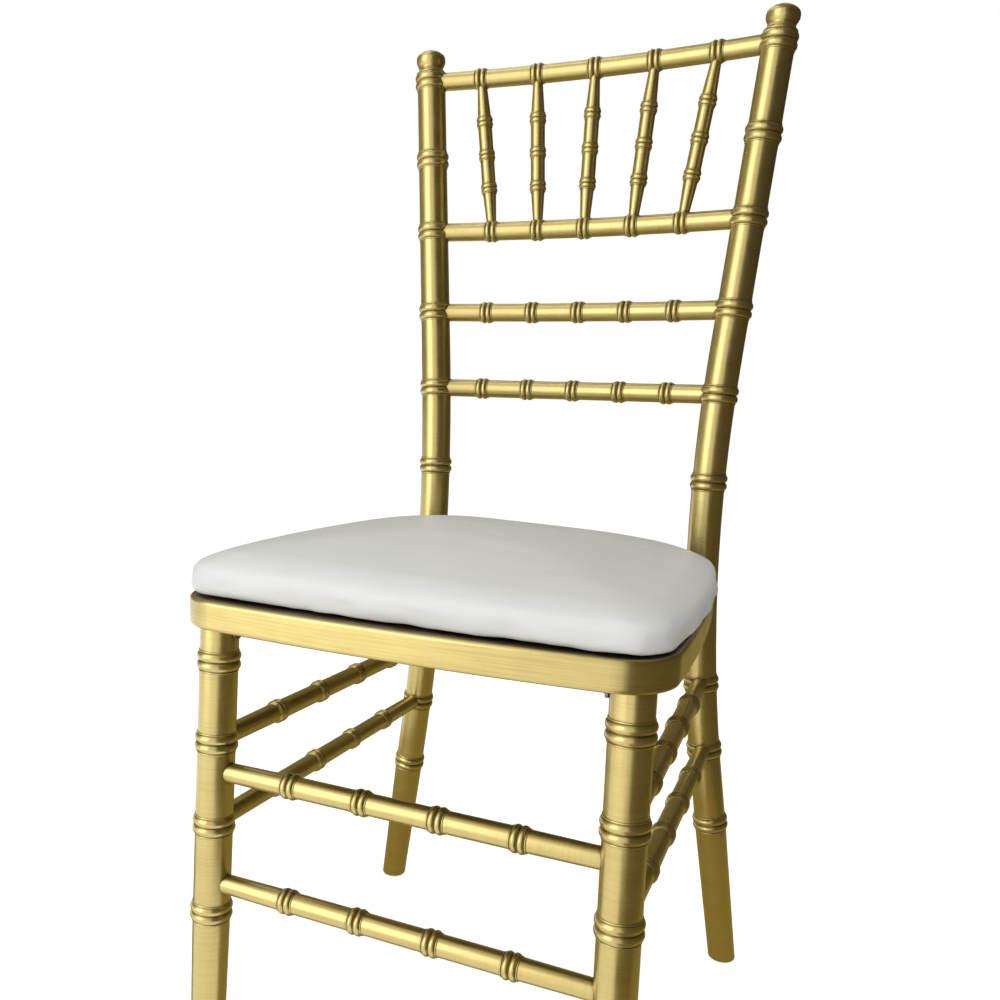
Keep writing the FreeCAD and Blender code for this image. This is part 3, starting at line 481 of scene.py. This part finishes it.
remesh = cushion.modifiers.new("remesh", "REMESH")
remesh.mode = "VOXEL"
remesh.voxel_size = CUSHION_VOXEL
with_modifiers(cushion)
start = [vertex.co.copy() for vertex in cushion.data.vertices]
held = cushion.vertex_groups.new(name="held")
held.add(list(range(len(start))), FOAM_HOLD, "REPLACE")
held.add([place for place, point in enumerate(start) if point.z < low.z + CUSHION_HELD], 1.0, "REPLACE")
cloth = cushion.modifiers.new("cloth", "CLOTH")
cloth.settings.use_pressure = True
cloth.settings.uniform_pressure_force = CUSHION_PRESSURE
cloth.settings.effector_weights.gravity = 0
cloth.settings.vertex_group_mass = "held"
for step in range(1, CUSHION_FRAMES + 1):
    scene.frame_set(step)
with_modifiers(cushion)
scene.frame_set(1)
for vertex, point in zip(cushion.data.vertices, start):
    move = vertex.co - point
    if move.length > CUSHION_CAP:
        vertex.co = point + move.normalized() * CUSHION_CAP

fold = bmesh.new()
fold.from_mesh(cushion.data)
fold.normal_update()
moves = []
waves = CUSHION_ROUND_MM / PUCKER_MM
for vertex in fold.verts:
    turn = math.atan2(vertex.co.y - middle.y, vertex.co.x - middle.x)
    share = max(0.0, 1 - abs(2 * (vertex.co.z - low.z) / PUCKER_HIGH - 1))
    swing = noise.noise(Vector((math.cos(turn) * waves, math.sin(turn) * waves, 0.5)))
    moves.append(vertex.normal * (swing * share * PUCKER_DEEP))
lining = BVHTree.FromObject(bottom_cloth, bpy.context.evaluated_depsgraph_get())
for vertex, move in zip(fold.verts, moves):
    underside = vertex.co.z < low.z + CUSHION_HELD
    ground = Vector((vertex.co.x, vertex.co.y, 0))
    lined = underside and lining.ray_cast(ground, Vector((0, 0, 1)))[0] is not None
    near_hem = max(0.0, 1 - (vertex.co.z - low.z) / HEM_HIGH)
    up_share = (vertex.co.z - low.z) / (high.z - low.z)
    scallop = noise.noise(ground * (1000 / SCALLOP_MM))
    vertex.co.x *= 1 + HEM_SPREAD * near_hem
    vertex.co.y = middle.y + (vertex.co.y - middle.y) * (1 + HEM_SPREAD * near_hem)
    vertex.co += move
    vertex.co.z = max(vertex.co.z, low.z) - HEM_SAG * near_hem * (SCALLOP_LEVEL + scallop)
    left = max(0.0, -vertex.co.x)
    lean = CUSHION_LEAN * vertex.co.x * (1 - (left / CUSHION_END) ** 4)
    vertex.co.z += (CUSHION_FULLER - lean) * up_share
    front_share = min(1.0, max(0.0, (middle.y - vertex.co.y) / FRONT_REACH))
    vertex.co.y -= CUSHION_TURN * vertex.co.x * (up_share if left else max(up_share, front_share))
    vertex.co.x -= CUSHION_LEFT * left
    vertex.co.z += UNDERSIDE_SUNK if lined else 0.0
fold.to_mesh(cushion.data)
fold.free()
cushion.data.shade_smooth()
smooth = cushion.modifiers.new("smooth", "SUBSURF")
smooth.levels = 1
smooth.render_levels = 1
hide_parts("cushion_cover", "cushion_foam")

# Studio. A plain white sweep and a white world behind it.
# Both look white to the camera, but they light the chair less, and the floor keeps the chair's shadow.

FLOOR_SIZE = 40.0
FLOOR_PALE = 0.60
FLOOR_GLOW = 0.79
WORLD_LEVEL = 0.44


def shown_white(tree_owner):
    """1 for the rays that show the background: camera, glossy and transmission."""
    path = add(tree_owner, "LightPath").outputs
    seen = add(tree_owner, "Math", {"operation": "MAXIMUM"},
               {0: path["Is Camera Ray"], 1: path["Is Glossy Ray"]})
    return add(tree_owner, "Math", {"operation": "MAXIMUM"},
               {0: seen.outputs[0], 1: path["Is Transmission Ray"]}).outputs[0]


paper = bpy.data.materials.new("white_paper_sweep")
paper.use_nodes = True
paper.node_tree.nodes.clear()
glow = add(paper, "Math", {"operation": "MULTIPLY", 1: FLOOR_GLOW}, {0: shown_white(paper)})
light = add(paper, "Emission", {"Color": (1, 1, 1, 1)}, {"Strength": glow.outputs[0]})
matte = add(paper, "BsdfDiffuse", {"Color": (FLOOR_PALE, FLOOR_PALE, FLOOR_PALE, 1)})
finished(paper, add(paper, "AddShader", {}, {0: light.outputs[0], 1: matte.outputs[0]}))
sweep = bmesh.new()
bmesh.ops.create_grid(sweep, x_segments=1, y_segments=1, size=FLOOR_SIZE / 2)
floor_mesh = bpy.data.meshes.new("studio_floor")
sweep.to_mesh(floor_mesh)
sweep.free()
floor_mesh.materials.append(paper)
floor = bpy.data.objects.new("studio_floor", floor_mesh)
scene.collection.objects.link(floor)

world = bpy.data.worlds.new("studio_world")
world.use_nodes = True
world.node_tree.nodes.clear()
brightness = ranged(world, shown_white(world), (0.0, 1.0), (WORLD_LEVEL, 1.0))
sky = add(world, "Background", {"Color": (1, 1, 1, 1)}, {"Strength": brightness})
add(world, "OutputWorld", {}, {"Surface": sky.outputs[0]})
scene.world = world

# Lamps. One window-like lamp stands to the front left, a weak one hangs above and a low one fills the front.
# Cards on all sides but the window's are met by reflections alone, as the darker surfaces of a room.

CARD_FADE = (0.2, 0.8)


def soft_lamp(name, place, aim, width, height, watts):
    """A rectangular lamp at a place, turned towards its aim."""
    lamp = bpy.data.lights.new(name, "AREA")
    lamp.shape = "RECTANGLE"
    lamp.size = width
    lamp.size_y = height
    lamp.energy = watts
    holder = bpy.data.objects.new(name, lamp)
    scene.collection.objects.link(holder)
    holder.location = place
    holder.rotation_mode = "QUATERNION"
    holder.rotation_quaternion = (Vector(aim) - Vector(place)).to_track_quat("-Z", "Y")
    return holder


def card(name, low_tone, high_tone, xs, ys, zs):
    """A flat card, upright or level, that only glossy rays meet. Its tone changes with the height."""
    paint, place, split = new_material(name)
    tone = mixed(paint, ranged(paint, split[2], CARD_FADE), low_tone, high_tone)
    finished(paint, add(paint, "Emission", {"Strength": 1.0}, {"Color": tone}))
    second_y, last_y = ys if zs[0] == zs[1] else (ys[1], ys[0])
    corners = [(xs[0], ys[0], zs[0]), (xs[1], second_y, zs[0]), (xs[1], ys[1], zs[1]), (xs[0], last_y, zs[1])]
    mesh = bpy.data.meshes.new(name)
    mesh.from_pydata(corners, [], [(0, 1, 2, 3)])
    mesh.materials.append(paint)
    piece = bpy.data.objects.new(name, mesh)
    scene.collection.objects.link(piece)
    piece.visible_camera = False
    piece.visible_diffuse = False
    piece.visible_transmission = False
    piece.visible_shadow = False


soft_lamp("window_lamp", (-1.15, -1.80, 1.25), (0, 0, 1.25), 1.4, 2.4, 20.5)
soft_lamp("top_lamp", (0.1, -0.2, 2.6), (0, 0, 0.5), 1.2, 1.2, 10.0)
soft_lamp("front_fill", (0.5, -2.2, 0.3), (0, 0, 0.45), 1.2, 1.0, 9.0).visible_glossy = False
card("side_card", "#5F522E", "#3A2C12", (0.6, 0.6), (-1.2, 1.8), (0, 2.2))
card("left_card", "#A09A80", "#8F8970", (-1.9, -1.9), (-0.8, 1.8), (0.4, 2.4))
card("rear_card", "#807B5B", "#6F6A4D", (-1.9, 0.6), (1.8, 1.8), (0, 2.4))
card("ceiling_card", "#4E401F", "#433618", (-0.3, 1.2), (-0.9, 1.3), (2.2, 2.2))
card("under_card", "#9A8A4E", "#9A8A4E", (-0.7, 1.0), (-0.2, 1.8), (0.001, 0.001))
card("front_card", "#76673B", "#76673B", (0.2, 1.0), (-1.1, -0.2), (0.001, 0.001))

# Camera, at the photo's own place: a little above the seat and to the chair's right.
# Its lens is shifted, as a picture cut from a larger one needs.

CAMERA_PLACE = (0.28493, -0.76705, 0.57372)
CAMERA_YAW = math.radians(24.9185)
CAMERA_PITCH = math.radians(11.5044)
CAMERA_ROLL = math.radians(1.5935)
LENS_MM = 34.575
SENSOR_MM = 36.0
LENS_SHIFT = (0.0758, 0.0867)
forward = Vector((-math.sin(CAMERA_YAW) * math.cos(CAMERA_PITCH),
                  math.cos(CAMERA_YAW) * math.cos(CAMERA_PITCH),
                  -math.sin(CAMERA_PITCH)))
right = Vector((math.cos(CAMERA_YAW), math.sin(CAMERA_YAW), 0))
up = right.cross(forward)
rolled_right = right * math.cos(CAMERA_ROLL) + up * math.sin(CAMERA_ROLL)
rolled_up = up * math.cos(CAMERA_ROLL) - right * math.sin(CAMERA_ROLL)
lens = bpy.data.cameras.new("camera")
lens.lens = LENS_MM
lens.sensor_width = SENSOR_MM
lens.shift_x, lens.shift_y = LENS_SHIFT
camera = bpy.data.objects.new("camera", lens)
scene.collection.objects.link(camera)
camera.location = CAMERA_PLACE
camera.rotation_mode = "QUATERNION"
camera.rotation_quaternion = Matrix((rolled_right, rolled_up, -forward)).transposed().to_quaternion()
scene.camera = camera
scene.view_settings.view_transform = "Standard"
